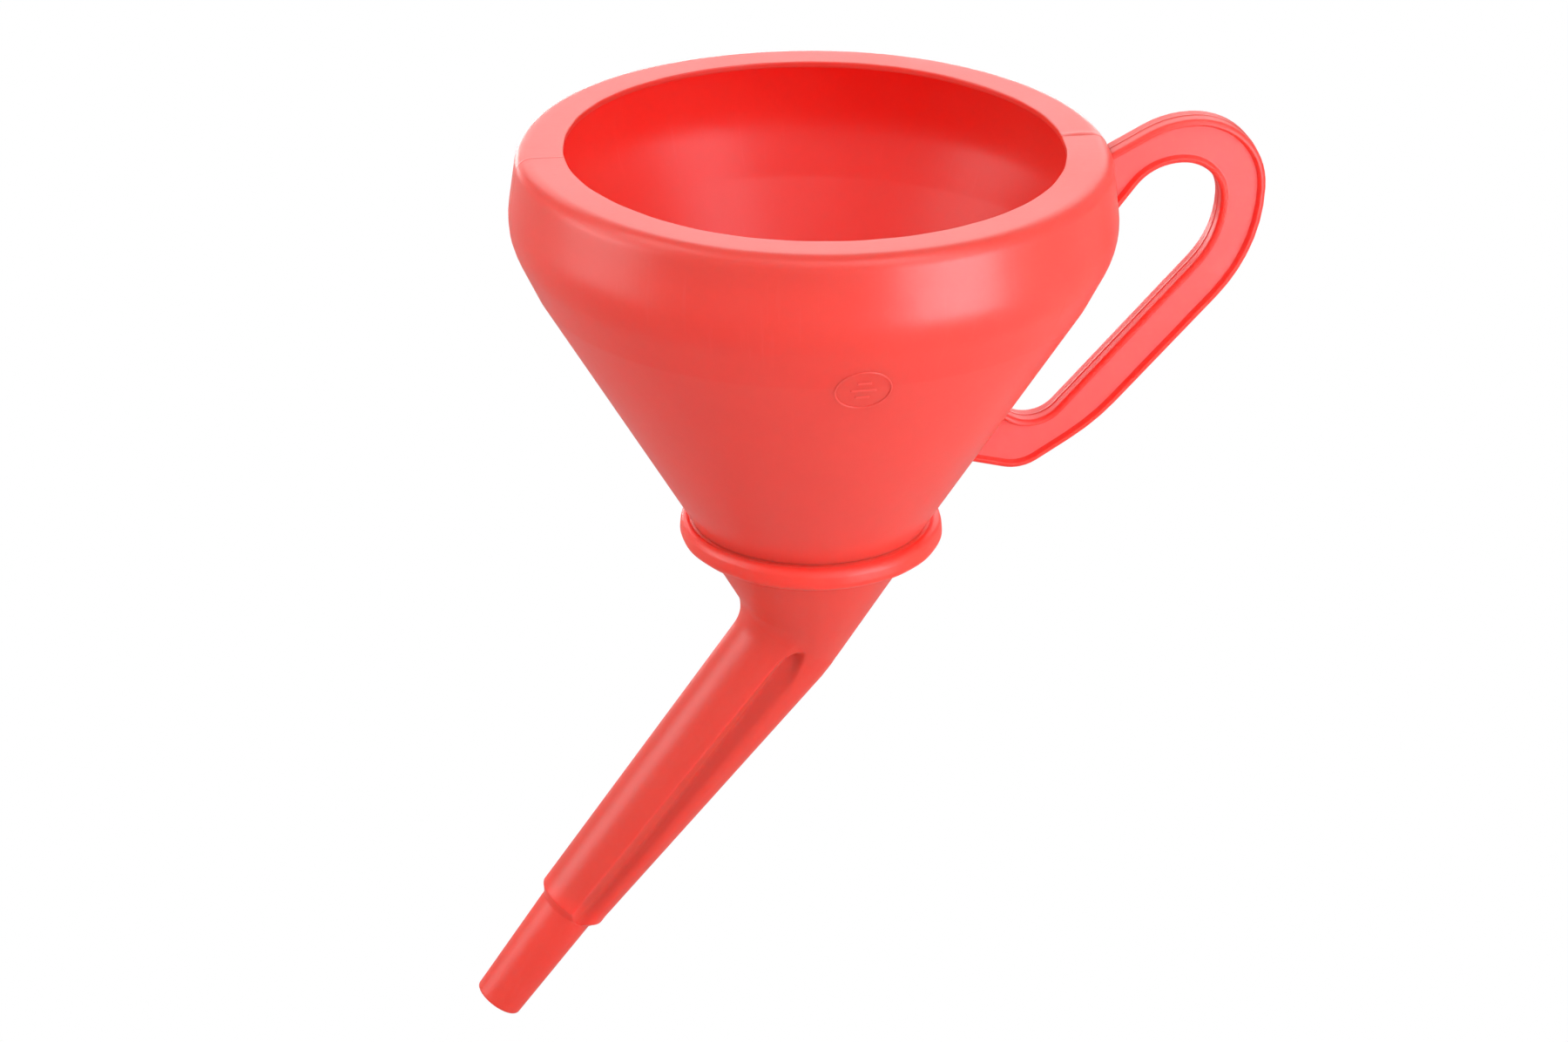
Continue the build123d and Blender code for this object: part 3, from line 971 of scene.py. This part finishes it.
def uneven_collar(rings, profile):
    """The bead is a little out of round and level, and its gutter opens out towards both sides."""
    turn = 2 * pi * np.arange(rings.shape[1]) / rings.shape[1]
    radius, height = profile[:, 0][:, None], profile[:, 1][:, None]
    on_bead = np.clip((radius - 32.1) / 1.2, 0, 1) * (height > COLLAR_LOW_Z - 0.3)
    wobble = waves(turn, (0.12, 3, 0.7), (0.09, 7, 2.1), (0.05, 17, 0.0))
    lift = waves(turn, (0.18, 2, 1.1), (0.12, 5, 0.0)) - 0.25 * np.cos(turn + 0.5)
    sideways = np.abs(np.cos(turn)) ** 3
    near_top = np.clip((height - (COLLAR_TOP_Z - 1.4)) / 0.8, 0, 1)
    in_gutter = bump_at(radius - GUTTER_R, 0.30) * near_top
    top = np.clip((height - (COLLAR_TOP_Z - 1.2)) / 1.2, 0, 1)
    shelf = np.clip((radius - GUTTER_R) / 0.6, 0, 1) * top
    outward = on_bead * (wobble + 0.4 * np.cos(turn)) + shelf * sideways * 0.5
    rings[..., 0] += outward * np.cos(turn)
    rings[..., 1] += outward * np.sin(turn)
    rings[..., 2] += on_bead * lift * 0.5 - in_gutter * sideways * 0.2
    return rings


TUBE_END_U = 116.0        # above this, the tube's rings are found with rays


def make_spout():
    tube = []
    for u in np.linspace(SHOULDER_U + 2, TUBE_END_U, 34):
        ring = full_ring(half_section(u))
        tube.append(in_spout(ring[:, 0], ring[:, 1], u))
    collar = collar_profile()
    columns = len(tube[0])
    turn = 2 * pi * np.arange(columns) / columns
    outside = cast_rings(planes(TUBE_END_U + 0.6, collar[0][1] - 0.5, 30, 64, 34), 0.0)
    collar_rings = uneven_collar(lathe(collar, turn), collar)
    inside = cast_rings(planes(SHOULDER_U + 4, collar[-1][1] - 0.3, 24, 20, 8), SPOUT_WALL)[::-1]
    around = full_ring(half_section(SHOULDER_U + 2))
    around = np.arctan2(around[:, 1], around[:, 0])
    bore = [
        around_spout(TIP_ROOT_R - SPOUT_WALL, around, SHOULDER_U + 2.6),
        around_spout(TIP_BORE_R, around, TIP_ROOT_U),
        around_spout(TIP_BORE_R, around, 1.0),
    ]
    rings = np.concatenate([
        np.array(tip_rings()), np.array(tube), outside, collar_rings, inside, np.array(bore),
    ])
    spout = skin("spout_shell", rings, "spout", SPOUT_PLASTIC)
    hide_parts("spout")


# ---- strainer -----------------------------------------------------------------------------
FLANGE_R = 18.4           # the ring's opening, under the gauze
CRIMPS = 24
WIRE_R = 0.14
WIRE_PITCH = 0.95
WIRE_SIDES = 6
WIRE_EDGE = 0.25          # the wires stop this far inside the gauze's rim


def make_ring():
    """Pressed ring with a rolled upper edge and an inner flange under the gauze."""
    outer_r = (ring_high[0] - ring_low[0]) / 2
    gauze_r = (gauze_high[0] - gauze_low[0]) / 2
    low, high, flange = ring_low[2], ring_high[2], gauze_low[2]
    corners = [
        (FLANGE_R, low, 0.2), (outer_r, low, 0.35), (outer_r, high, 0.5),
        (gauze_r + 0.2, high, 0.5), (gauze_r, flange + 0.7, 0.2), (gauze_r - 0.5, flange, 0.1),
        (FLANGE_R, flange, 0.2),
    ]
    profile = divided(rounded(corners, closed=True), 0.8, closed=True)
    azimuths = 2 * pi * np.arange(180) / 180
    rings = lathe(profile, azimuths)
    crimp = 0.12 * np.clip(np.cos(CRIMPS * azimuths), 0, 1) ** 4
    inner_top = bump_at(profile[:, 0] - gauze_r, 0.6) * bump_at(profile[:, 1] - high, 1.2)
    rings[..., 2] -= inner_top[:, None] * crimp
    ring = skin("strainer_ring_pressed", rings, "strainer", RING_BRASS)
    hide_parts("strainer_ring")


def make_gauze():
    """Plain weave: each wire passes over one crossing wire and under the next."""
    radius = (gauze_high[0] - gauze_low[0]) / 2 - WIRE_EDGE
    middle_z = (gauze_low[2] + gauze_high[2]) / 2
    turn = 2 * pi * np.arange(WIRE_SIDES) / WIRE_SIDES
    points, faces = [], []
    lanes = np.arange(-int(radius / WIRE_PITCH), int(radius / WIRE_PITCH) + 1)
    for direction in (0, 1):
        for lane in lanes:
            aside = lane * WIRE_PITCH
            half = sqrt(max(radius ** 2 - aside ** 2, 0.01))
            count = max(2, int(2 * half / (WIRE_PITCH / 4)))
            along = np.linspace(-half, half, count)
            phase = pi * (lane + direction)
            sway = WIRE_R * np.cos(pi * along / WIRE_PITCH + phase)
            start = len(points)
            for a, s in zip(along, sway):
                for t in turn:
                    across = aside + WIRE_R * cos(t)
                    place = (a, across) if direction == 0 else (across, a)
                    points.append((AXIS_X + place[0], place[1], middle_z + s + WIRE_R * sin(t)))
            for row in range(count - 1):
                for col in range(WIRE_SIDES):
                    first = start + row * WIRE_SIDES + col
                    second = start + row * WIRE_SIDES + (col + 1) % WIRE_SIDES
                    faces.append((first, second, second + WIRE_SIDES, first + WIRE_SIDES))
            end = start + count * WIRE_SIDES
            faces.append(tuple(range(start + WIRE_SIDES - 1, start - 1, -1)))
            faces.append(tuple(range(end - WIRE_SIDES, end)))
    gauze = solid("strainer_gauze_wires", points, faces, "strainer", GAUZE_BRASS)
    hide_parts("strainer_gauze")


# ---- studio -------------------------------------------------------------------------------
def make_camera():
    """The view from the front left of the handle's plane, a little above the rim."""
    azimuth, elevation = radians(-9.0), radians(24.283)
    distance = 1.18588
    aim = Vector((AXIS_X, 0, RIM_Z - 80.0)) * MM
    back = Vector((sin(azimuth) * cos(elevation), -cos(azimuth) * cos(elevation), sin(elevation)))
    data = bpy.data.cameras.new("camera")
    data.lens = 102.398
    data.sensor_width = 36.0
    data.clip_start = 0.05
    camera = bpy.data.objects.new("camera", data)
    bpy.context.scene.collection.objects.link(camera)
    camera.location = aim + back * distance
    camera.rotation_mode = "QUATERNION"
    pan = Quaternion((0, 1, 0), radians(0.325))
    nod = Quaternion((1, 0, 0), radians(-1.197))
    roll = Quaternion((0, 0, 1), radians(0.845))
    camera.rotation_quaternion = (-back).to_track_quat("-Z", "Y") @ pan @ nod @ roll
    bpy.context.scene.camera = camera


def softbox(name, azimuth, distance, height, size, radiance, aim_height, tint=(1.0, 1.0, 1.0)):
    """Diffuser at an azimuth from the front, towards +x, turned to face the object; in metres."""
    data = bpy.data.lights.new(name, "AREA")
    data.color = tint
    data.shape = "RECTANGLE"
    data.size, data.size_y = size
    data.energy = radiance * pi * size[0] * size[1]
    lamp = bpy.data.objects.new(name, data)
    bpy.context.scene.collection.objects.link(lamp)
    a = radians(azimuth)
    axis = Vector((AXIS_X * MM, 0, 0))
    lamp.location = axis + Vector((sin(a) * distance, -cos(a) * distance, height))
    lamp.rotation_mode = "QUATERNION"
    aim = axis + Vector((0, 0, aim_height)) - lamp.location
    lamp.rotation_quaternion = aim.to_track_quat("-Z", "Y")
    lamp.visible_camera = False


FLOOR_HALF = 12.0         # metres
FLOOR_GAP = 0.0005
WORLD_LIGHT = 0.38
ROSE = (1.0, 0.95, 1.05)


def make_studio():
    half, z = FLOOR_HALF, cad_box[0][2] - FLOOR_GAP
    mesh = bpy.data.meshes.new("floor")
    corners = [(-half, -half, z), (half, -half, z), (half, half, z), (-half, half, z)]
    mesh.from_pydata(corners, [], [(0, 1, 2, 3)])
    mesh.materials.append(plain_floor())
    floor = bpy.data.objects.new("floor", mesh)
    bpy.context.scene.collection.objects.link(floor)

    world = bpy.data.worlds.new("studio")
    world.use_nodes = True
    background = world.node_tree.nodes["Background"]
    background.inputs["Color"].default_value = WHITE
    background.inputs["Strength"].default_value = WORLD_LIGHT
    bpy.context.scene.world = world
    bpy.context.scene.view_settings.view_transform = "Standard"

    softbox("right_front", 41, 0.65, 0.20, (0.40, 0.38), 6.3, 0.20, tint=ROSE)
    softbox("right_middle", 41, 0.65, 0.53, (0.40, 0.26), 2.2, 0.20, tint=ROSE)
    softbox("right_upper", 41, 0.50, 0.85, (0.40, 0.50), 1.8, 0.22, tint=ROSE)
    softbox("left", -90, 0.75, 0.25, (0.50, 0.30), 3.6, 0.20)
    softbox("left_middle", -90, 0.75, 0.56, (0.50, 0.30), 2.2, 0.20)
    softbox("left_upper", -90, 0.60, 0.98, (0.50, 0.42), 2.4, 0.22)
    softbox("back", 175, 1.20, 0.80, (1.60, 0.90), 1.75, 0.22)
    softbox("backdrop", 180, 0.95, 0.12, (0.90, 0.24), 5.0, 0.16)
    softbox("front_top", 10, 0.60, 1.30, (0.90, 0.60), 1.4, 0.22)


make_camera()
make_bowl()
make_mark()
make_handle()
make_spout()
make_ring()
make_gauze()
make_studio()
